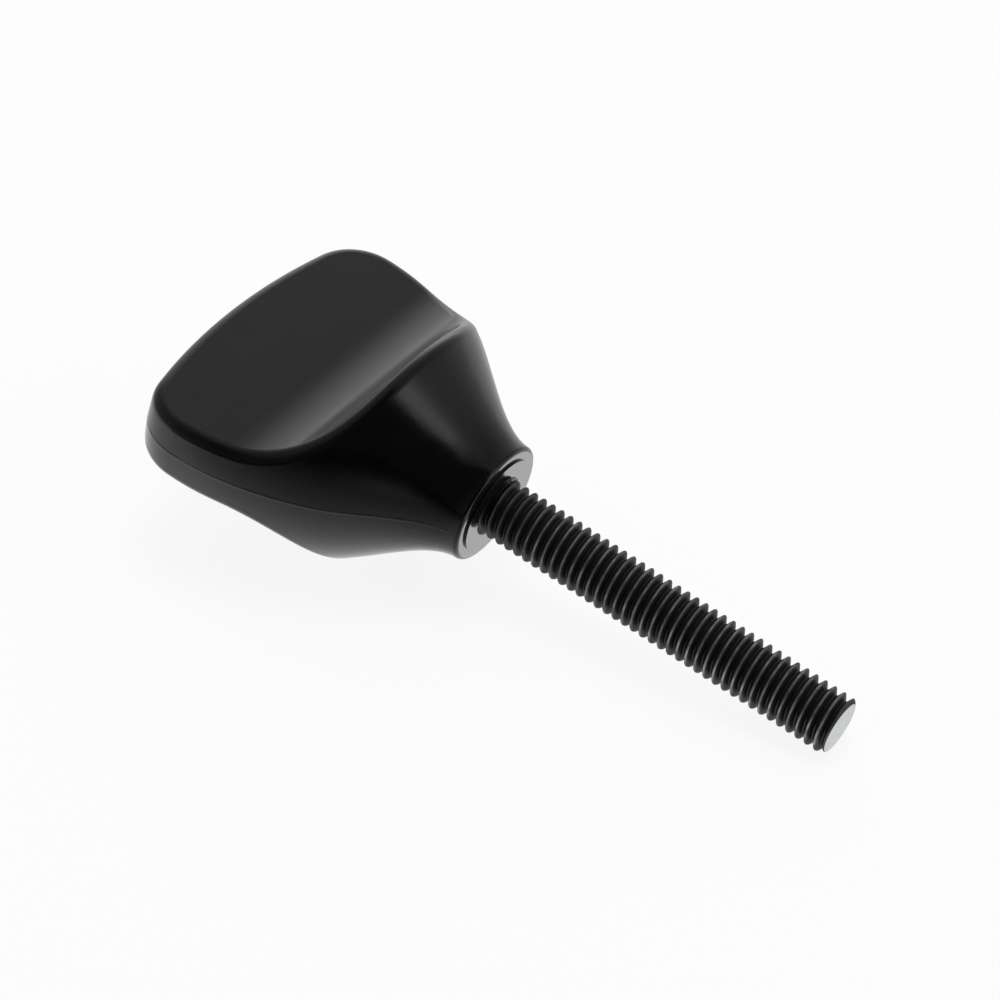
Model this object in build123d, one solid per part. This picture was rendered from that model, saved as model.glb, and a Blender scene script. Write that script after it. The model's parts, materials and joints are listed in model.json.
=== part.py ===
from build123d import *
import math
import os

# Wing screw: a wing-shaped thumb grip moulded onto the hexagon head of a black steel M6 screw.
# The two pieces are drawn upright, on the screw's own axis, with the collar's face at zero and the
# wing above it. They are then laid down as the loose screw comes to rest, on its lip and its tip.
# Lengths are in millimetres, angles in degrees.

# Steel screw
thread_diameter = 6.0
thread_pitch = 1.0
tip_face_diameter = 5.2
free_length = 37.8
hexagon_across_flats = 10.0
hexagon_height = 4.0
hexagon_edge_chamfer = 0.4
hexagon_depth = 5.5

# Collar, the small end of the grip that the thread comes out of
collar_diameter = 12.0
collar_edge_radius = 0.4
boss_diameter = 9.6
boss_height = 0.2
mouth_clearance = 0.1

# Bell-shaped neck, from the collar to the lip
lip_diameter = 25.35
lip_height = 11.25
lip_slope = 30.5
collar_handle_share = 0.30
lip_handle_share = 0.33

# Wing, from the lip to the crowned top
wing_span = 33.6
head_height = 31.3
corner_radius = 5.2
crown_rise = 1.2
shoulder_handle_share = 0.265
side_handle_share = 0.40

# Thumb scoops, which leave the wing between them
wing_thickness = 6.2
wing_draft = 2.0
scoop_radius = 9.0
rim_radius = 1.1

# How far a cutting shape runs past what it cuts
overrun = 2.0


# Places that follow from the sizes above
collar_radius = collar_diameter / 2
lip_radius = lip_diameter / 2
half_span = wing_span / 2
widest_height = head_height - crown_rise - corner_radius
tip_height = -boss_height - free_length
tip_chamfer = (thread_diameter - tip_face_diameter) / 2


# The screw: free threaded end with a chamfered tip, shank in the plastic, and hexagon head.
# The free end is drawn at the crests of its thread. In the plastic, which fills half of each
# groove, the shank is drawn at the pitch diameter of a metric thread.

pitch_diameter = thread_diameter - thread_pitch * 3 * math.sqrt(3) / 8
mouth_chamfer = (thread_diameter - pitch_diameter) / 2 + mouth_clearance

with BuildPart() as screw:
    with BuildSketch(Plane.XY.offset(tip_height)):
        Circle(thread_diameter / 2)
    extrude(amount=free_length)
    chamfer(screw.edges().sort_by(Axis.Z)[0], tip_chamfer)
    with BuildSketch(Plane.XY.offset(-boss_height)):
        Circle(pitch_diameter / 2)
    extrude(amount=boss_height + hexagon_depth)
    with BuildSketch(Plane.XY.offset(hexagon_depth)):
        RegularPolygon(hexagon_across_flats / 2, 6, major_radius=False)
    extrude(amount=hexagon_height)
    chamfer(screw.faces().sort_by(Axis.Z)[-1].edges(), hexagon_edge_chamfer)


# The grip's outline, turned about the axis: boss, collar, neck, wing side, corner and crown.
# Each stretch starts along the line that the one before it ends on, so the outline has no kink
# between the collar's rounded edge and the top.

along_axis = Vector(0, 1)
along_lip = Vector(math.sin(math.radians(lip_slope)), math.cos(math.radians(lip_slope)))

boss_start = Vector(0, -boss_height)
boss_corner = Vector(boss_diameter / 2, -boss_height)
boss_foot = Vector(boss_diameter / 2, 0)
collar_face_end = Vector(collar_radius - collar_edge_radius, 0)
neck_start = Vector(collar_radius, collar_edge_radius)
lip_point = Vector(lip_radius, lip_height)
widest_point = Vector(half_span, widest_height)
top_point = Vector(0, head_height)

neck_rise = lip_height - collar_edge_radius
side_rise = widest_height - lip_height

# The crown is the arc that meets the axis squarely at the top and runs into the corner's arc.
corner_centre = Vector(half_span - corner_radius, widest_height)
corner_top = corner_radius + crown_rise
crown_radius = (corner_centre.X**2 + corner_top**2 - corner_radius**2) / (2 * crown_rise)
crown_centre = Vector(0, head_height - crown_radius)
corner_end = corner_centre + (corner_centre - crown_centre).normalized() * corner_radius

with BuildPart() as grip:
    with BuildSketch(Plane.XZ):
        with BuildLine():
            Polyline(top_point, boss_start, boss_corner, boss_foot, collar_face_end)
            TangentArc(collar_face_end, neck_start, tangent=Vector(1, 0))
            Bezier(
                neck_start,
                neck_start + along_axis * neck_rise * collar_handle_share,
                lip_point - along_lip * neck_rise * lip_handle_share,
                lip_point,
            )
            Bezier(
                lip_point,
                lip_point + along_lip * side_rise * shoulder_handle_share,
                widest_point - along_axis * side_rise * side_handle_share,
                widest_point,
            )
            TangentArc(widest_point, corner_end, tangent=along_axis)
            RadiusArc(corner_end, top_point, -crown_radius)
        make_face()
    revolve(axis=Axis.Z)

    # Thumb scoops: a flat that leans outwards from the top, running into a quarter round that
    # ends square to the axis at the lip. What the two scoops leave is the wing.
    draft_slope = math.tan(math.radians(wing_draft))
    scoop_centre_height = lip_height + scoop_radius
    flat_end_height = scoop_centre_height - scoop_radius * math.sin(math.radians(wing_draft))
    flat_end_depth = wing_thickness / 2 + draft_slope * (head_height - flat_end_height)
    scoop_centre_depth = flat_end_depth + scoop_radius * math.cos(math.radians(wing_draft))
    scoop_top_height = head_height + overrun
    scoop_top_depth = wing_thickness / 2 - draft_slope * overrun
    scoop_outer_depth = half_span + overrun
    flat_end = Vector(flat_end_depth, flat_end_height)
    scoop_top = Vector(scoop_top_depth, scoop_top_height)
    scoop_floor = Vector(scoop_centre_depth, lip_height)
    with BuildSketch(Plane.YZ):
        with BuildLine():
            Line(scoop_top, flat_end)
            TangentArc(flat_end, scoop_floor, tangent=flat_end - scoop_top)
            Polyline(
                scoop_floor,
                Vector(scoop_outer_depth, lip_height),
                Vector(scoop_outer_depth, scoop_top_height),
                scoop_top,
            )
        make_face()
        mirror(about=Plane.YZ)
    extrude(amount=half_span + overrun, both=True, mode=Mode.SUBTRACT)

    # The rim all round each scoop, lip included, is rounded over.
    fillet(grip.edges(Select.LAST).filter_by(Axis.X, reverse=True), rim_radius)

    # The plastic closes round the screw's head and shank with no gap, up to a countersunk mouth
    # that keeps the collar's face clear of the thread.
    add(screw.part, mode=Mode.SUBTRACT)
    chamfer(grip.edges(Select.LAST).sort_by(Axis.Z)[0], mouth_chamfer)


# Laying it down: the screw rests on the rounded lip in the middle of one scoop and on the last
# full turn at the tip. The tilt is that of the line that touches both.

lip_sine = math.sin(math.radians(lip_slope))
lip_cosine = math.cos(math.radians(lip_slope))
rim_centre_depth = lip_radius - rim_radius * (1 + lip_sine) / lip_cosine
rim_centre_height = lip_height - rim_radius
tip_contact_height = tip_height + tip_chamfer
drop = rim_centre_depth - thread_diameter / 2
run = rim_centre_height - tip_contact_height
rest_tilt = math.degrees(math.atan2(drop, run) + math.asin(rim_radius / math.hypot(drop, run)))

laid_down = Rotation(0, -90, 0) * Rotation(0, 0, 90)
at_rest = Rotation(0, rest_tilt, 0) * laid_down
pieces = {"wing_head": at_rest * grip.part, "threaded_stud": at_rest * screw.part}

# The origin is under the middle of the box, on the surface that the screw lies on.
whole = Compound(list(pieces.values())).bounding_box()
to_origin = Location((-whole.center().X, -whole.center().Y, -whole.min.Z))

os.makedirs("parts", exist_ok=True)
for name, piece in pieces.items():
    export_step(to_origin * piece, f"parts/{name}.step")

print(f"rest tilt {rest_tilt:.2f} degrees, crown radius {crown_radius:.1f} mm, box {whole.size}")
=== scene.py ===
# %% [markdown]
# # A black wing screw, dressed for a studio picture
#
# The part is a thumb screw: a wing of black plastic, moulded onto the head of a black steel M6
# screw. The solids come ready made and placed, in metres, as a fixed frame. This lesson gives them
# their looks: the real thread, the line that the mould leaves, the two finishes, and the light.
# Nothing in the frame is moved. What needs a finer shape is made beside it and stands for it.

# %% Load the frame
import json
import math

import bmesh
import bpy
from mathutils import Matrix, Vector


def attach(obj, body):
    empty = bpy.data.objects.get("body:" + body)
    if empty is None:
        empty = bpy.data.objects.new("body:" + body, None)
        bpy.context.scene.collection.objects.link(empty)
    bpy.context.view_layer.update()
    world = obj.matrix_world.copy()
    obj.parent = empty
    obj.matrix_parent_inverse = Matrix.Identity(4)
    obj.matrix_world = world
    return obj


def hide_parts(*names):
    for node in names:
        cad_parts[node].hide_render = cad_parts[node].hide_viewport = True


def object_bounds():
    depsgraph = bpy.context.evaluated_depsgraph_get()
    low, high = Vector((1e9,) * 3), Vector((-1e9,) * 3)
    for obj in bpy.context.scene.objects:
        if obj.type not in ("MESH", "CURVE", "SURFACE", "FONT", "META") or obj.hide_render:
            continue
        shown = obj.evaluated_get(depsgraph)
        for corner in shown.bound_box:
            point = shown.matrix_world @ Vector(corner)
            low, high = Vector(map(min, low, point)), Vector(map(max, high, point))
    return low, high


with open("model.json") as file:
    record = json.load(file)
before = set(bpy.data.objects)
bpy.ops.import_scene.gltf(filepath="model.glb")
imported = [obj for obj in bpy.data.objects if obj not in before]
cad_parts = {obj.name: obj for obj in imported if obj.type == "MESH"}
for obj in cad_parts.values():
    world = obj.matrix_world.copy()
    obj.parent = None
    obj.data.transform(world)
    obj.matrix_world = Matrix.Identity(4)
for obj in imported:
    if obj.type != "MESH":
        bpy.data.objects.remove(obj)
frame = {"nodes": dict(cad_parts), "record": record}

cad_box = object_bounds()
print("solids:", sorted(frame["nodes"]))

# %% [markdown]
# ## The screw's own axes
#
# The screw lies tilted, on its lip and its tip, so the row's X, Y and Z are awkward to model in.
# The record says where the thread is and which way it points. From that come three handy axes:
# along the stud to its tip, across the wing, and out of the upper thumb scoop.

# %% Axes from the thread's own record
MM = 0.001

thread = next(mount for mount in frame["record"]["mounts"] if mount["name"] == "thread")
to_tip = Vector(thread["axis"]).normalized()
across_wing = Vector((0.0, 1.0, 0.0))
out_of_scoop = to_tip.cross(across_wing)

thread_radius = thread["dims"]["r_mm"] * MM
thread_length = thread["dims"]["length_mm"] * MM
collar_end = Vector(thread["pos_m"]) - to_tip * thread_length / 2

# A point (out of the scoop, across the wing, towards the tip) becomes a place in the row frame.
screw_axes = Matrix((out_of_scoop, across_wing, to_tip)).transposed().to_4x4()
screw_axes.translation = collar_end
to_screw = screw_axes.inverted()

stud_points = [to_screw @ corner.co for corner in frame["nodes"]["threaded_stud"].data.vertices]
head_points = [to_screw @ corner.co for corner in frame["nodes"]["wing_head"].data.vertices]
tip_end = max(point.z for point in stud_points)
head_top = min(point.z for point in head_points)
print(f"tip {tip_end / MM:.2f} mm and crown {-head_top / MM:.2f} mm from the collar's face")

# %% [markdown]
# ## The camera
#
# The picture was taken with a long lens, from the wing's near side and well above it. A camera can
# be aimed by hand, or placed by two angles and a distance. The second way reads like a note that
# a photographer would make, and it is easy to correct. The collar is the point that is held still:
# its place in the picture is known, so the camera is slid sideways until it falls there.

# %% Place the camera
PICTURE_SIDE = 1000
collar_pixel = (495.9, 504.8)

camera_azimuth = math.radians(32.1)
camera_elevation = math.radians(38.6)
camera_roll = math.radians(3.55)
camera_distance = 427.2 * MM
focal_length = 169.2
sensor_width = 36.0
nearest_seen = 10 * MM

boss_height = 0.2 * MM
collar_centre = collar_end - to_tip * boss_height

toward_camera = Vector((
    math.sin(camera_azimuth) * math.cos(camera_elevation),
    -math.cos(camera_azimuth) * math.cos(camera_elevation),
    math.sin(camera_elevation),
))
level_right = Vector((math.cos(camera_azimuth), math.sin(camera_azimuth), 0.0))
level_up = toward_camera.cross(level_right)
camera_right = level_right * math.cos(camera_roll) + level_up * math.sin(camera_roll)
camera_up = toward_camera.cross(camera_right)

pixel_size = camera_distance * sensor_width / focal_length / PICTURE_SIDE
right_offset = (PICTURE_SIDE / 2 - collar_pixel[0]) * pixel_size
up_offset = (collar_pixel[1] - PICTURE_SIDE / 2) * pixel_size

camera_data = bpy.data.cameras.new("camera")
camera_data.lens = focal_length
camera_data.sensor_width = sensor_width
camera_data.clip_start = nearest_seen
camera = bpy.data.objects.new("camera", camera_data)
camera.matrix_world = Matrix((camera_right, camera_up, toward_camera)).transposed().to_4x4()
slide = camera_right * right_offset + camera_up * up_offset
camera.location = collar_centre + toward_camera * camera_distance + slide
bpy.context.scene.collection.objects.link(camera)
bpy.context.scene.camera = camera
print("camera at", [round(value, 4) for value in camera.location])

# %% [markdown]
# ## Small tools for materials
#
# Colours are written as on a paint chart, in sRGB hex. Blender mixes light in linear values, so
# one function turns the first into the second. The next adds a node, with its settings and with
# what feeds it, so that a material reads as a list of what it is made of. The last one starts a
# material with nothing in it.

# %% Colour and node helpers
def linear(hex_colour):
    """An sRGB hex colour as linear RGBA."""
    channels = [int(hex_colour[place:place + 2], 16) / 255 for place in (1, 3, 5)]
    return [c / 12.92 if c <= 0.04045 else ((c + 0.055) / 1.055) ** 2.4 for c in channels] + [1.0]


def add_node(tree, kind, inputs=None, **settings):
    """One node. inputs gives each socket, by name or number, a value or another node's output."""
    node = tree.nodes.new(kind)
    for name, value in settings.items():
        setattr(node, name, value)
    for socket, value in (inputs or {}).items():
        if isinstance(value, bpy.types.NodeSocket):
            tree.links.new(value, node.inputs[socket])
        else:
            node.inputs[socket].default_value = value
    return node


def new_material(name):
    """An empty material, with its tree and its output node."""
    material = bpy.data.materials.new(name)
    material.use_nodes = True
    material.node_tree.nodes.clear()
    output = material.node_tree.nodes.new("ShaderNodeOutputMaterial")
    return material, material.node_tree, output


print("white is", linear("#ffffff"))

# %% [markdown]
# ## Moulded nylon
#
# The grip is black nylon, shot into a steel mould of two halves. Nylon takes the mould's own
# finish: a fine satin grain that dulls a reflection without hiding it. Black pigment swallows
# nearly all the light that enters, so what the eye sees is the thin reflection on top. Two noises
# do the work: a fine one for the grain and a broad, faint one for the way plastic shrinks as it
# cools. Each half of the mould tapers away from the middle of the wing, so that the part comes out.
# A slope of height on either side of that middle gives the reflection its small jump there.

# %% Taper of the two halves of the mould
mould_taper = math.tan(math.radians(4.0))
taper_reach = 3 * MM
taper_fades_from = -1 * MM
taper_full_from = -9 * MM


def tapered_normal(tree, place):
    """The normal of a surface that slopes away from the middle of the wing."""
    from_collar = add_node(
        tree, "ShaderNodeVectorMath", {0: place, 1: collar_end}, operation="SUBTRACT"
    ).outputs[0]
    off_middle = add_node(
        tree, "ShaderNodeVectorMath", {0: from_collar, 1: out_of_scoop}, operation="DOT_PRODUCT"
    )
    off_collar = add_node(
        tree, "ShaderNodeVectorMath", {0: from_collar, 1: to_tip}, operation="DOT_PRODUCT"
    )
    distance = add_node(
        tree, "ShaderNodeMath", {0: off_middle.outputs["Value"]}, operation="ABSOLUTE"
    )
    reach = add_node(
        tree, "ShaderNodeMath", {0: distance.outputs[0], 1: -1 / taper_reach}, operation="MULTIPLY"
    )
    swell = add_node(tree, "ShaderNodeMath", {0: reach.outputs[0]}, operation="EXPONENT")
    height = add_node(
        tree, "ShaderNodeMapRange",
        {"Value": off_collar.outputs["Value"], "From Min": taper_fades_from,
         "From Max": taper_full_from, "To Min": 0.0, "To Max": mould_taper * taper_reach},
        interpolation_type="SMOOTHSTEP",
    )
    taper = add_node(
        tree, "ShaderNodeMath", {0: swell.outputs[0], 1: height.outputs["Result"]},
        operation="MULTIPLY",
    )
    bump = add_node(
        tree, "ShaderNodeBump", {"Height": taper.outputs[0], "Strength": 1.0, "Distance": 1.0}
    )
    return bump.outputs["Normal"]


print(f"taper rises {mould_taper * taper_reach / MM:.2f} mm")

# %% Moulded black nylon, satin, and a paler copy with painted light for the collar
grain_size = 0.30 * MM
grain_depth = 0.01 * MM
ripple_size = 3.0 * MM
ripple_depth = 0.02 * MM
ripple_low, ripple_high = 0.3, 0.7
bump_strength = 0.25
nylon_ior = 1.53
coat_roughness = 0.12


def moulded_nylon(name, dark, light, smoothest, roughest, coat):
    """Black nylon: two shades, a range of roughness, and how much of a second gloss lies on top."""
    material, tree, output = new_material(name)
    place = add_node(tree, "ShaderNodeTexCoord").outputs["Object"]
    grain = add_node(
        tree, "ShaderNodeTexNoise", {"Vector": place, "Scale": 1 / grain_size, "Detail": 3.0}
    )
    ripple = add_node(
        tree, "ShaderNodeTexNoise", {"Vector": place, "Scale": 1 / ripple_size, "Detail": 2.0}
    )
    roughness = add_node(
        tree, "ShaderNodeMapRange",
        {"Value": ripple.outputs["Fac"], "From Min": ripple_low, "From Max": ripple_high,
         "To Min": smoothest, "To Max": roughest},
    )
    ripple_bump = add_node(
        tree, "ShaderNodeBump",
        {"Height": ripple.outputs["Fac"], "Strength": bump_strength, "Distance": ripple_depth,
         "Normal": tapered_normal(tree, place)},
    )
    grain_bump = add_node(
        tree, "ShaderNodeBump",
        {"Height": grain.outputs["Fac"], "Strength": bump_strength, "Distance": grain_depth,
         "Normal": ripple_bump.outputs["Normal"]},
    )
    shade = add_node(
        tree, "ShaderNodeMix",
        {"Factor": ripple.outputs["Fac"], "A": linear(dark), "B": linear(light)},
        data_type="RGBA",
    )
    nylon = add_node(
        tree, "ShaderNodeBsdfPrincipled",
        {"Base Color": shade.outputs["Result"], "Roughness": roughness.outputs["Result"],
         "IOR": nylon_ior, "Coat Weight": coat, "Coat Roughness": coat_roughness,
         "Normal": grain_bump.outputs["Normal"]},
    )
    tree.links.new(nylon.outputs["BSDF"], output.inputs["Surface"])
    print("made", name)
    return material


satin_nylon = moulded_nylon(
    "moulded_black_nylon_satin", "#08080a", "#0b0b0c", smoothest=0.14, roughest=0.21, coat=0.0
)
# The collar's copy: its paler shades are painted light, for the bright paper that its face mirrors.
# Its coat is a real gloss.
collar_nylon_painted_light = moulded_nylon(
    "moulded_black_nylon_collar_painted_light", "#2a2a2b", "#363637", smoothest=0.10, roughest=0.16, coat=1.0
)

# %% [markdown]
# ## The grip
#
# The solid of the grip already has the true shape, so it is copied as it is, normals and all. A few
# of its faces are slivers, which tilt the normals of their larger neighbours and would show as dark
# dots. Those normals are taken afresh from the larger faces. Only the collar's end, which every
# tightening presses against something, has another material: a glossy coat, and a paler colour
# that is painted light, standing in for the bright paper that this flat face mirrors.

# %% Normals beside slivers
sliver_tilt = math.radians(40)
same_surface_tilt = math.radians(30)


def mend_normals(mesh):
    """Give the corners that touch a sliver the normal of the larger faces round them."""
    normals = [corner.vector.copy() for corner in mesh.corner_normals]
    spot_of = [tuple(round(value / MM, 3) for value in vertex.co) for vertex in mesh.vertices]
    slivers = [
        face for face in mesh.polygons
        if max(face.normal.angle(normals[corner]) for corner in face.loop_indices) > sliver_tilt
    ]
    sliver_numbers = {face.index for face in slivers}
    round_spot = {spot_of[place]: [] for face in slivers for place in face.vertices}
    beside = []
    for face in mesh.polygons:
        spots = [spot_of[place] for place in face.vertices if spot_of[place] in round_spot]
        if spots and face.index not in sliver_numbers:
            beside.append(face)
            for spot in spots:
                round_spot[spot].append(face)
    for face in beside:
        for corner in face.loop_indices:
            total = Vector()
            for other in round_spot.get(spot_of[mesh.loops[corner].vertex_index], []):
                if other.normal.angle(face.normal) < same_surface_tilt:
                    total += other.normal * other.area
            if total.length > 0:
                normals[corner] = total.normalized()
    mesh.normals_split_custom_set(normals)
    return len(slivers), len(beside)


head_mesh = frame["nodes"]["wing_head"].data.copy()
print("slivers, and faces mended beside them:", mend_normals(head_mesh))

# %% The grip
collar_depth = 0.3 * MM
facing_tip_share = 0.98

head = bpy.data.objects.new("grip", head_mesh)
bpy.context.scene.collection.objects.link(head)
head.data.materials.clear()
head.data.materials.append(satin_nylon)
head.data.materials.append(collar_nylon_painted_light)
# The collar's end gets the paler copy, whose colour is painted light.
for face in head.data.polygons:
    at_collar = (to_screw @ face.center).z > -collar_depth
    face.material_index = int(at_collar and face.normal.dot(to_tip) > facing_tip_share)
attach(head, "root")
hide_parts("wing_head")
print("grip faces", len(head.data.polygons))

# %% [markdown]
# ## The parting line
#
# Where the two halves of the mould meet, a hair of plastic squeezes out, so a fine raised line
# runs round the edge of the wing and down both sides of the neck. It could be drawn with a bump,
# but then it would vanish against the light. Here the grip is sliced down the middle of the wing,
# the slice's outline is put in order, and a low ridge is laid along it.

# %% Outline of the grip, in the plane where the mould parts
cut_tolerance = 0.0001 * MM
ridge_end = 6.02 * MM
wing_middle = Vector((0.0, 0.0, -18 * MM))
ridge_spacing = 0.3 * MM

slice_mesh = bmesh.new()
slice_mesh.from_mesh(frame["nodes"]["wing_head"].data)
slice_mesh.transform(to_screw)
cut = bmesh.ops.bisect_plane(
    slice_mesh, geom=slice_mesh.verts[:] + slice_mesh.edges[:] + slice_mesh.faces[:],
    plane_co=(0, 0, 0), plane_no=(1, 0, 0), dist=cut_tolerance,
)
cut_points = [
    element.co.copy() for element in cut["geom_cut"] if isinstance(element, bmesh.types.BMVert)
]
slice_mesh.free()
outline = [
    point for point in cut_points if abs(point.y) > ridge_end or point.z < wing_middle.z
]
outline.sort(key=lambda point: math.atan2(-point.y, wing_middle.z - point.z))
path = [outline[0]]
for point in outline[1:]:
    if (point - path[-1]).length > ridge_spacing:
        path.append(point)
print("outline points", len(outline), "of which the ridge follows", len(path))

# %% Shape of the ridge
ridge_half_width = 0.25 * MM
ridge_height = 0.014 * MM
ridge_root = -0.012 * MM
ridge_full_from = -10 * MM
ridge_fade = 1.0 * MM
ridge_least_share = 0.1
ridge_shape = [(-1.0, 0.0), (-0.5, 0.75), (0.0, 1.0), (0.5, 0.75), (1.0, 0.0)]

ridge_mesh = bmesh.new()
rings = []
for index, point in enumerate(path):
    along = (path[min(index + 1, len(path) - 1)] - path[max(index - 1, 0)]).normalized()
    outward = along.cross(Vector((1.0, 0.0, 0.0)))
    if outward.dot(point - wing_middle) < 0:
        outward = -outward
    rise = ridge_height
    if point.z > ridge_full_from:
        rise *= min(1.0, (abs(point.y) - ridge_end) / ridge_fade + ridge_least_share)
    ring = []
    for side, height in ridge_shape:
        lift = ridge_root + (rise - ridge_root) * height
        ring.append(ridge_mesh.verts.new(
            point + outward * lift + Vector((side * ridge_half_width, 0.0, 0.0))
        ))
    rings.append(ring)
for lower, upper in zip(rings, rings[1:]):
    for column in range(len(ridge_shape)):
        after = (column + 1) % len(ridge_shape)
        ridge_mesh.faces.new((lower[column], lower[after], upper[after], upper[column]))
ridge_mesh.faces.new(rings[0])
ridge_mesh.faces.new(rings[-1])
bmesh.ops.recalc_face_normals(ridge_mesh, faces=ridge_mesh.faces[:])
for face in ridge_mesh.faces:
    face.smooth = True
print("ridge rings", len(rings))

# %% The ridge, laid on the grip
ridge_mesh.transform(screw_axes)
ridge_data = bpy.data.meshes.new("parting_line")
ridge_mesh.to_mesh(ridge_data)
ridge_mesh.free()
ridge = bpy.data.objects.new("parting_line", ridge_data)
bpy.context.scene.collection.objects.link(ridge)
ridge.data.materials.append(satin_nylon)
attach(ridge, "root")
print("ridge faces", len(ridge_data.polygons))

# %% [markdown]
# ## Blackened steel
#
# The screw is steel with a black oxide finish, rolled to a thread. The oxide is thin, so the
# crests, which rub on everything, show a little bright steel. Wear follows the distance from the
# screw's axis. Near the collar the bright crests fade to little, which is painted shade: the
# collar's shade on the first turns. The grooves are darker towards their roots. Oxide also dulls a
# glancing reflection, which a darker specular tint stands for. The tip, which is cut after
# blackening, is bare.

# %% Black oxide, with its mottle
mottle_size = 0.4 * MM

black_steel, tree, output = new_material("blackened_steel_rolled")
place = add_node(tree, "ShaderNodeTexCoord").outputs["Object"]
mottle = add_node(
    tree, "ShaderNodeTexNoise", {"Vector": place, "Scale": 1 / mottle_size, "Detail": 4.0}
)
tone = add_node(
    tree, "ShaderNodeMix",
    {"Factor": mottle.outputs["Fac"], "A": linear("#525150"), "B": linear("#666563")},
    data_type="RGBA",
)
print("made", black_steel.name)

# %% Where the oxide has rubbed off, with painted shade by the collar
crest_radius = 2.90 * MM
wear_starts = 2.72 * MM
painted_shade_length = 2.5 * MM
painted_shade_end = 6.0 * MM
least_wear_in_painted_shade = 0.1
rub_size = 1.2 * MM
rub_low, rub_high = 0.42, 0.66
least_rub = 0.3

from_collar = add_node(
    tree, "ShaderNodeVectorMath", {0: place, 1: collar_end}, operation="SUBTRACT"
).outputs[0]
sideways = add_node(
    tree, "ShaderNodeVectorMath", {0: from_collar, 1: to_tip}, operation="CROSS_PRODUCT"
)
along = add_node(
    tree, "ShaderNodeVectorMath", {0: from_collar, 1: to_tip}, operation="DOT_PRODUCT"
)
off_axis = add_node(tree, "ShaderNodeVectorMath", {0: sideways.outputs[0]}, operation="LENGTH")
crest = add_node(
    tree, "ShaderNodeMapRange",
    {"Value": off_axis.outputs["Value"], "From Min": wear_starts, "From Max": crest_radius},
)
# Painted shade: the wear fades near the collar, standing in for the collar's shade on the first
# turns.
collar_painted_shade = add_node(
    tree, "ShaderNodeMapRange",
    {"Value": along.outputs["Value"], "From Min": painted_shade_length, "From Max": painted_shade_end,
     "To Min": least_wear_in_painted_shade, "To Max": 1.0},
)
rubs = add_node(tree, "ShaderNodeTexNoise", {"Vector": place, "Scale": 1 / rub_size, "Detail": 3.0})
patchy = add_node(
    tree, "ShaderNodeMapRange",
    {"Value": rubs.outputs["Fac"], "From Min": rub_low, "From Max": rub_high,
     "To Min": least_rub, "To Max": 1.0},
)
worn = add_node(
    tree, "ShaderNodeMath", {0: crest.outputs["Result"], 1: patchy.outputs["Result"]},
    operation="MULTIPLY",
)
# Real crest wear, times the painted shade by the collar.
wear_and_collar_painted_shade = add_node(
    tree, "ShaderNodeMath", {0: worn.outputs[0], 1: collar_painted_shade.outputs["Result"]},
    operation="MULTIPLY",
)
rubbed = add_node(
    tree, "ShaderNodeMix",
    {"Factor": wear_and_collar_painted_shade.outputs[0], "A": tone.outputs["Result"], "B": linear("#adacaa")},
    data_type="RGBA",
)
print(f"wear from {wear_starts / MM:.2f} to {crest_radius / MM:.2f} mm off the axis")

# %% Darker towards the groove roots, and the finished steel
root_radius = 2.35 * MM
root_tone_share = 0.3
oxide_metallic = 0.65
smoothest_oxide, roughest_oxide = 0.28, 0.40

grooved = add_node(
    tree, "ShaderNodeMapRange",
    {"Value": off_axis.outputs["Value"], "From Min": root_radius, "From Max": wear_starts,
     "To Min": root_tone_share, "To Max": 1.0},
)
# Darker towards the roots of the groove.
darker_towards_roots = add_node(
    tree, "ShaderNodeMix",
    {"Factor": grooved.outputs["Result"], "A": linear("#2e2d2c"), "B": rubbed.outputs["Result"]},
    data_type="RGBA",
)
bared = add_node(
    tree, "ShaderNodeMapRange",
    {"Value": wear_and_collar_painted_shade.outputs[0], "To Min": oxide_metallic, "To Max": 1.0},
)
sheen = add_node(
    tree, "ShaderNodeMapRange",
    {"Value": mottle.outputs["Fac"], "To Min": smoothest_oxide, "To Max": roughest_oxide},
)
oxide = add_node(
    tree, "ShaderNodeBsdfPrincipled",
    {"Base Color": darker_towards_roots.outputs["Result"], "Metallic": bared.outputs["Result"],
     "Roughness": sheen.outputs["Result"], "Specular Tint": linear("#6a6a6a")},
)
tree.links.new(oxide.outputs["BSDF"], output.inputs["Surface"])
print("blackened steel has", len(tree.nodes), "nodes")

# %% Bare cut steel
mark_size = 0.3 * MM
mark_depth = 0.02 * MM
mark_strength = 0.5
cut_roughness = 0.38

cut_steel, tree, output = new_material("bare_steel_cut")
place = add_node(tree, "ShaderNodeTexCoord").outputs["Object"]
marks = add_node(
    tree, "ShaderNodeTexNoise", {"Vector": place, "Scale": 1 / mark_size, "Detail": 4.0}
)
tone = add_node(
    tree, "ShaderNodeMix",
    {"Factor": marks.outputs["Fac"], "A": linear("#a6a9ab"), "B": linear("#dfe2e4")},
    data_type="RGBA",
)
cut_marks = add_node(
    tree, "ShaderNodeBump",
    {"Height": marks.outputs["Fac"], "Strength": mark_strength, "Distance": mark_depth},
)
steel = add_node(
    tree, "ShaderNodeBsdfPrincipled",
    {"Base Color": tone.outputs["Result"], "Metallic": 1.0, "Roughness": cut_roughness,
     "Normal": cut_marks.outputs["Normal"]},
)
tree.links.new(steel.outputs["BSDF"], output.inputs["Surface"])
print("made", cut_steel.name)

# %% [markdown]
# ## The thread
#
# A metric thread is one groove wound round the bar. It could be painted on with a bump, but its
# edge against the light would stay smooth. Here it is a sheet of faces whose rows follow the helix,
# so the crests stay crisp, and the two ends are then cut square. A rolled M6 thread measures a
# little under 6 mm over its crests, and it runs on into the mouth of the collar.

# %% Thread profile
pitch = 1.0 * MM
crest_share = 0.09
root_share = 1 / 6
thread_depth = 0.6134 * pitch
tip_chamfer = tip_end - thread_length
corner_softness_share = 0.035
softness_steps = 4
first_crest_share = -0.40
mouth_end = -0.55 * MM


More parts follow.
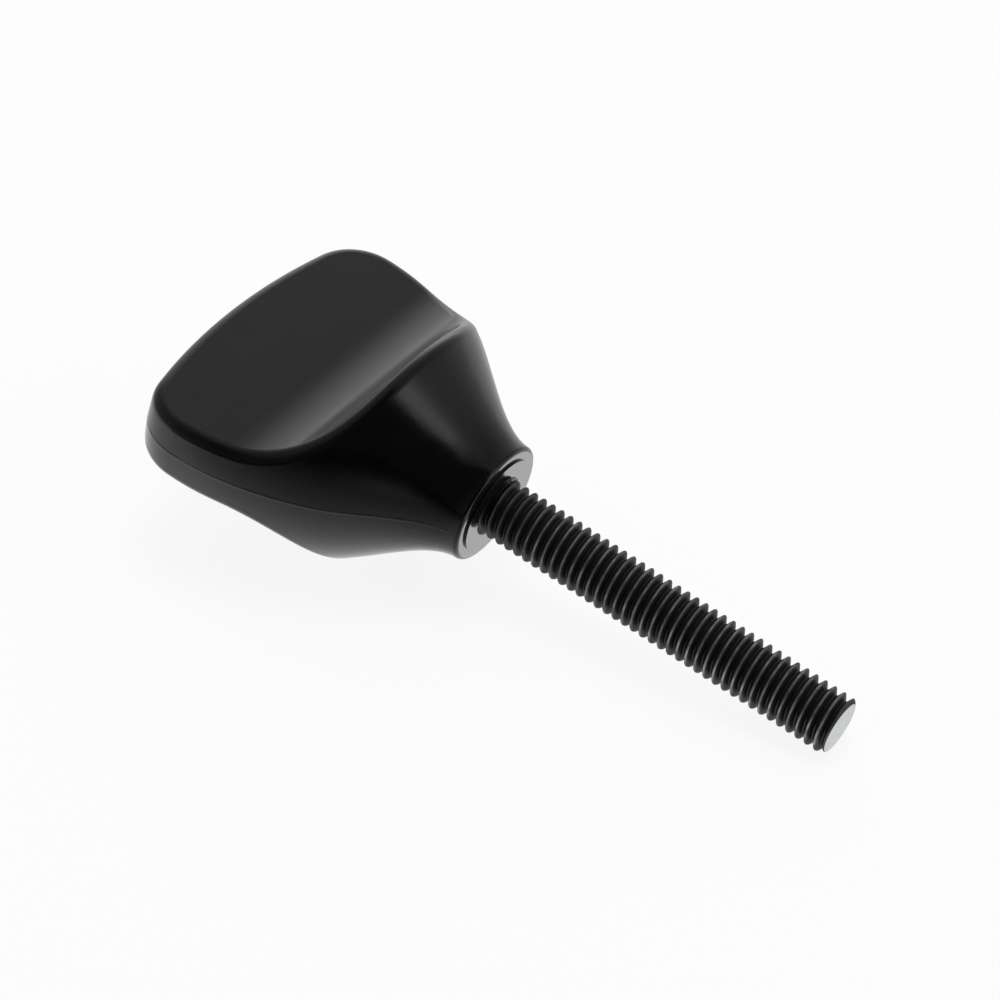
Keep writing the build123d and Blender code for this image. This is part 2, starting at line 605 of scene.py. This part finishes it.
def groove(phase):
    """Depth of the groove, as a share, at a phase counted in pitches from the middle of a crest."""
    away = abs((phase + 0.5) % 1.0 - 0.5)
    flank = (1 - crest_share - root_share) / 2
    return min(max((away - crest_share / 2) / flank, 0.0), 1.0)


def soft_groove(phase):
    """The groove with its corners rounded, as rolling leaves them."""
    places = range(-softness_steps, softness_steps + 1)
    steps = [corner_softness_share * place / softness_steps for place in places]
    return sum(groove(phase + step) for step in steps) / len(steps)


print("groove depth", [round(soft_groove(step / 8), 2) for step in range(9)])

# %% Thread mesh
rows_per_turn = 16
columns = 72
turns_before = 3
least_radius = 0.2 * MM
weld_distance = 0.001 * MM
total_rows = int((tip_end / pitch + 2 * turns_before) * rows_per_turn)

thread_mesh = bmesh.new()
grid = []
for row in range(total_rows + 1):
    phase = row / rows_per_turn - turns_before
    ring = []
    for column in range(columns + 1):
        turn = column / columns
        along = (phase + turn + first_crest_share) * pitch
        radius = crest_radius - thread_depth * soft_groove(phase)
        cone = crest_radius - (along - thread_length)
        radius = min(radius, max(cone, least_radius))
        angle = 2 * math.pi * turn
        place = (radius * math.cos(angle), -radius * math.sin(angle), along)
        ring.append(thread_mesh.verts.new(place))
    grid.append(ring)
for lower, upper in zip(grid, grid[1:]):
    for column in range(columns):
        after = column + 1
        thread_mesh.faces.new((lower[column], lower[after], upper[after], upper[column]))
bmesh.ops.remove_doubles(thread_mesh, verts=thread_mesh.verts, dist=weld_distance)
print("thread rows", len(grid))

# %% Both ends of the thread, cut square
sides_of_quad = 4


def cut_square(mesh, height, keep_below):
    """Cut a mesh square to the screw, and throw away what is on the other side."""
    bmesh.ops.bisect_plane(
        mesh, geom=mesh.verts[:] + mesh.edges[:] + mesh.faces[:], dist=cut_tolerance,
        plane_co=(0, 0, height), plane_no=(0, 0, 1),
        clear_outer=keep_below, clear_inner=not keep_below,
    )


cut_square(thread_mesh, mouth_end, keep_below=False)
cut_square(thread_mesh, tip_end, keep_below=True)
tip_rim = [
    edge for edge in thread_mesh.edges
    if edge.is_boundary and min(vert.co.z for vert in edge.verts) > tip_end - tip_chamfer
]
bmesh.ops.holes_fill(thread_mesh, edges=tip_rim, sides=0)
for face in thread_mesh.faces:
    face.smooth = len(face.verts) <= sides_of_quad
    face.material_index = int(face.calc_center_median().z > tip_end - weld_distance)
print("thread faces", len(thread_mesh.faces))

# %% [markdown]
# ## The rest of the screw
#
# The shank and the hexagon head sit inside the plastic, where nobody sees them, but a screw
# without them would come out in the hand. They could be drawn again. The solid has them ready, so
# its hidden end is cut off and joined to the new thread. A bridge between the two rims, just inside
# the mouth, makes it one closed piece.

# %% Shank and hexagon, cut from the solid
bridge_length = 0.1 * MM
shank_end = mouth_end - bridge_length
solid_weld_distance = 0.0005 * MM
sharp_angle = math.radians(30)

hidden_end = bmesh.new()
hidden_end.from_mesh(frame["nodes"]["threaded_stud"].data)
hidden_end.transform(to_screw)
bmesh.ops.remove_doubles(hidden_end, verts=hidden_end.verts, dist=solid_weld_distance)
cut_square(hidden_end, shank_end, keep_below=True)
for face in hidden_end.faces:
    face.smooth = True
    face.material_index = 0
for edge in hidden_end.edges:
    edge.smooth = edge.calc_face_angle(0.0) < sharp_angle
hidden_data = bpy.data.meshes.new("hidden_end")
hidden_end.to_mesh(hidden_data)
hidden_end.free()
print("hidden faces", len(hidden_data.polygons))

# %% Thread, shank and hexagon in one piece
thread_mesh.from_mesh(hidden_data)
bpy.data.meshes.remove(hidden_data)
rims = [edge for edge in thread_mesh.edges if edge.is_boundary]
bmesh.ops.bridge_loops(thread_mesh, edges=rims)
bmesh.ops.recalc_face_normals(thread_mesh, faces=thread_mesh.faces[:])
open_edges = [edge for edge in thread_mesh.edges if not edge.is_manifold]
print("open edges", len(open_edges), "of", len(thread_mesh.edges))
thread_mesh.transform(screw_axes)
stud_mesh = bpy.data.meshes.new("threaded_stud_visual")
thread_mesh.to_mesh(stud_mesh)
thread_mesh.free()
stud = bpy.data.objects.new("rolled_thread", stud_mesh)
bpy.context.scene.collection.objects.link(stud)
stud.data.materials.append(black_steel)
stud.data.materials.append(cut_steel)
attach(stud, "root")
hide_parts("threaded_stud")
print("screw faces", len(stud_mesh.polygons))

# %% [markdown]
# ## Table
#
# The screw lies on white paper. The camera sees the paper lit to white, with the screw's own soft
# shadow on it. In reflections the paper is a painted glow instead: painted shade darkens it towards
# the photographer, standing in for the head's shadow and a sheet lit from its far left, it is a
# little darker behind the screw, and a painted light strip beside the stud stays light. A painted
# picture of the paper could say the same. A few distances, in millimetres, are easier to correct.

# %% Paper, as the camera sees it
paper_glow = 0.89

paper, tree, output = new_material("matt_white_paper")
light_path = add_node(tree, "ShaderNodeLightPath")
seen = add_node(
    tree, "ShaderNodeMath",
    {0: light_path.outputs["Is Camera Ray"], 1: light_path.outputs["Is Transmission Ray"]},
    operation="MAXIMUM",
)
glow = add_node(tree, "ShaderNodeMath", {0: seen.outputs[0], 1: paper_glow}, operation="MULTIPLY")
sheet = add_node(tree, "ShaderNodeBsdfDiffuse", {"Color": linear("#7c7c7c")})
lift = add_node(
    tree, "ShaderNodeEmission", {"Color": linear("#ffffff"), "Strength": glow.outputs[0]}
)
lit_sheet = add_node(tree, "ShaderNodeAddShader", {0: sheet.outputs[0], 1: lift.outputs[0]})
print("made", paper.name)

# %% Painted reflection of the paper: painted shade towards the photographer
fade_length = 20 * MM
fade_start = 17 * MM
front_length = 8 * MM
painted_fade_direction = Vector((1.0, -0.66, 0.0))

place = add_node(tree, "ShaderNodeTexCoord").outputs["Object"]
along_painted_fade = add_node(
    tree, "ShaderNodeVectorMath", {0: place, 1: painted_fade_direction}, operation="DOT_PRODUCT"
)
faded = add_node(
    tree, "ShaderNodeMapRange",
    {"Value": along_painted_fade.outputs["Value"], "From Min": -fade_start,
     "From Max": fade_length - fade_start},
    clamp=False,
)
split = add_node(tree, "ShaderNodeSeparateXYZ", {0: place})
forward = add_node(
    tree, "ShaderNodeMapRange",
    {"Value": split.outputs["Y"], "From Min": 0.0, "From Max": -front_length},
    clamp=False,
)
nearest = add_node(
    tree, "ShaderNodeMath", {0: faded.outputs[0], 1: forward.outputs[0]}, operation="MINIMUM"
)
print("mirrored paper fades over", round(fade_length / MM), "mm")

# %% Painted reflection of the paper: a painted light strip beside the stud
strip_starts, strip_full = 10 * MM, 24 * MM
strip_front, strip_near = -50 * MM, -26 * MM
strip_fade = 0.15

past_head = add_node(
    tree, "ShaderNodeMapRange",
    {"Value": split.outputs["X"], "From Min": strip_starts, "From Max": strip_full},
)
close_by = add_node(
    tree, "ShaderNodeMapRange",
    {"Value": split.outputs["Y"], "From Min": strip_front, "From Max": strip_near},
)
# A painted light strip beside the stud, seen only in reflections.
painted_light_strip = add_node(
    tree, "ShaderNodeMath", {0: past_head.outputs[0], 1: close_by.outputs[0]}, operation="MULTIPLY"
)
kept = add_node(
    tree, "ShaderNodeMapRange", {"Value": painted_light_strip.outputs[0], "To Min": 1.0, "To Max": strip_fade}
)
shaded = add_node(
    tree, "ShaderNodeMath", {0: nearest.outputs[0], 1: kept.outputs[0]}, operation="MULTIPLY"
)
print("light strip from", round(strip_starts / MM), "mm on")

# %% Painted reflection of the paper: dimmer behind, and the whole sheet
fade_power = 1.9
behind_starts, behind_full = 16 * MM, 36 * MM
behind_brightness = 0.75

in_front = add_node(tree, "ShaderNodeMath", {0: shaded.outputs[0], 1: 0.0}, operation="MAXIMUM")
steep = add_node(
    tree, "ShaderNodeMath", {0: in_front.outputs[0], 1: fade_power}, operation="POWER"
)
weaker = add_node(tree, "ShaderNodeMath", {0: steep.outputs[0], 1: 1.0}, operation="ADD")
behind = add_node(
    tree, "ShaderNodeMapRange",
    {"Value": split.outputs["Y"], "From Min": behind_starts, "From Max": behind_full,
     "To Min": 1.0, "To Max": behind_brightness},
)
mirrored = add_node(
    tree, "ShaderNodeMath", {0: behind.outputs[0], 1: weaker.outputs[0]}, operation="DIVIDE"
)
painted_mirror_glow = add_node(
    tree, "ShaderNodeEmission", {"Color": linear("#ffffff"), "Strength": mirrored.outputs[0]}
)
# Glossy rays see the painted glow; all other rays see the lit sheet.
either = add_node(
    tree, "ShaderNodeMixShader",
    {"Fac": light_path.outputs["Is Glossy Ray"], 1: lit_sheet.outputs[0],
     2: painted_mirror_glow.outputs[0]},
)
tree.links.new(either.outputs[0], output.inputs["Surface"])
print("paper has", len(tree.nodes), "nodes")

# %% Table top
tent_radius = 1.0
table_sides = 96
table_rim = []
for side in range(table_sides):
    angle = 2 * math.pi * side / table_sides
    table_rim.append((tent_radius * math.cos(angle), tent_radius * math.sin(angle), 0.0))
floor_mesh = bpy.data.meshes.new("table")
floor_mesh.from_pydata(table_rim, [], [range(table_sides)])
floor_mesh.materials.append(paper)
floor = bpy.data.objects.new("table", floor_mesh)
bpy.context.scene.collection.objects.link(floor)
print("table", tent_radius * 2, "m wide")

# %% [markdown]
# ## Tent of light
#
# A black glossy thing is lit by what it mirrors, so the room matters more than the lamps. Round
# the far side stands a white tent, brightest low down on the left, where the lamp behind it is,
# with a lit fold on the right. The side of the photographer is dark, and that is what the front of
# the neck mirrors. The tent could be a picture of a studio. A few values that say how bright it is
# in each direction do the same, and can be changed one by one. Directions are in degrees.

# %% Brightness of the tent
room_brightness = 0.035
cloth_level = 0.15
foot_level, foot_height = 0.36, 30
back_level, back_azimuth, back_width = 0.14, 115, 45
patch_level, patch_azimuth, patch_width = 0.86, 127, 18
patch_top, patch_top_softness = 35, 6
fold_level, fold_azimuth, fold_width = 1.0, 7, 11
fold_elevation, fold_height = 27, 14
glow_level, glow_azimuth, glow_width = 0.1, 25, 20
right_edge, right_edge_softness = -2, 1
right_edge_shift, shift_elevation, shift_softness = 14, 40, 2
left_edge, left_edge_softness = 246, 12


def bell(value, middle, width):
    """A soft bump of height 1."""
    return math.exp(-((value - middle) / width) ** 2)


def soft_step(value, middle, softness):
    """A soft step from 0 up to 1."""
    return 1 / (1 + math.exp((middle - value) / softness))


def tent_light(azimuth, elevation):
    """Brightness of the tent in a direction given in degrees, where 1 is white."""
    cloth = cloth_level + foot_level * math.exp(-elevation / foot_height)
    cloth += back_level * bell(azimuth, back_azimuth, back_width)
    patch = patch_level * bell(azimuth, patch_azimuth, patch_width)
    patch *= 1 - soft_step(elevation, patch_top, patch_top_softness)
    fold = fold_level * bell(azimuth, fold_azimuth, fold_width)
    fold *= bell(elevation, fold_elevation, fold_height)
    fold += glow_level * bell(azimuth, glow_azimuth, glow_width)
    shift = right_edge_shift * soft_step(elevation, shift_elevation, shift_softness)
    drawn = soft_step(azimuth, right_edge - shift, right_edge_softness)
    drawn *= 1 - soft_step(azimuth, left_edge, left_edge_softness)
    return (cloth + patch + fold) * drawn + room_brightness * (1 - drawn)


print("tent", [round(tent_light(patch_azimuth, height), 2) for height in (0, 20, 40, 60)])

# %% Tent
tent_from, tent_to, tent_top = -30, 300, 90
tent_step = 3

tent_points = []
tent_values = []
tent_columns = range(tent_from, tent_to + 1, tent_step)
tent_rows = range(0, tent_top + 1, tent_step)
for azimuth in tent_columns:
    for elevation in tent_rows:
        flat = tent_radius * math.cos(math.radians(elevation))
        tent_points.append((
            flat * math.cos(math.radians(azimuth)), flat * math.sin(math.radians(azimuth)),
            tent_radius * math.sin(math.radians(elevation)),
        ))
        tent_values.append(tent_light(azimuth, elevation))
tent_faces = [
    (column * len(tent_rows) + row, (column + 1) * len(tent_rows) + row,
     (column + 1) * len(tent_rows) + row + 1, column * len(tent_rows) + row + 1)
    for column in range(len(tent_columns) - 1) for row in range(len(tent_rows) - 1)
]
tent_mesh = bpy.data.meshes.new("tent")
tent_mesh.from_pydata(tent_points, [], tent_faces)
tent_mesh.attributes.new("brightness", "FLOAT", "POINT").data.foreach_set("value", tent_values)

tent_cloth, tree, output = new_material("white_tent_cloth_lit")
brightness = add_node(tree, "ShaderNodeAttribute", attribute_name="brightness")
cloth = add_node(
    tree, "ShaderNodeEmission", {"Color": linear("#ffffff"), "Strength": brightness.outputs["Fac"]}
)
tree.links.new(cloth.outputs[0], output.inputs["Surface"])
tent_mesh.materials.append(tent_cloth)
tent = bpy.data.objects.new("tent", tent_mesh)
tent.visible_camera = False
bpy.context.scene.collection.objects.link(tent)
print("tent faces", len(tent_faces))

# %% [markdown]
# ## Lamp and room
#
# One broad lamp overhead lights the paper and whatever is not black, and casts the soft shadow. The
# room beyond is dark in every reflection, and white where the camera looks past the paper.

# %% Lamp and room
softbox_width = 0.46
softbox_power = 1.65
softbox_height = 0.94

lamp_data = bpy.data.lights.new("overhead_softbox", "AREA")
lamp_data.shape = "DISK"
lamp_data.size = softbox_width
lamp_data.energy = softbox_power
lamp = bpy.data.objects.new("overhead_softbox", lamp_data)
lamp.location = (0.0, 0.0, softbox_height)
lamp.visible_glossy = False
bpy.context.scene.collection.objects.link(lamp)

world = bpy.data.worlds.new("studio")
world.use_nodes = True
tree = world.node_tree
light_path = add_node(tree, "ShaderNodeLightPath")
shown = add_node(
    tree, "ShaderNodeMapRange",
    {"Value": light_path.outputs["Is Camera Ray"], "To Min": room_brightness, "To Max": 1.0},
)
tree.links.new(shown.outputs["Result"], tree.nodes["Background"].inputs["Strength"])
tree.nodes["Background"].inputs["Color"].default_value = linear("#ffffff")
bpy.context.scene.world = world
bpy.context.scene.view_settings.view_transform = "Standard"
print("lamp", softbox_power, "W")

# %% [markdown]
# ## Sizes, and the end
#
# The box of the solids is written at the end. The thread and the parting line were made anew,
# beside them.

# %% Sizes and finish
cad_size = [round((high - low) / MM, 2) for low, high in zip(*cad_box)]
print("box of the solids, in mm:", cad_size)
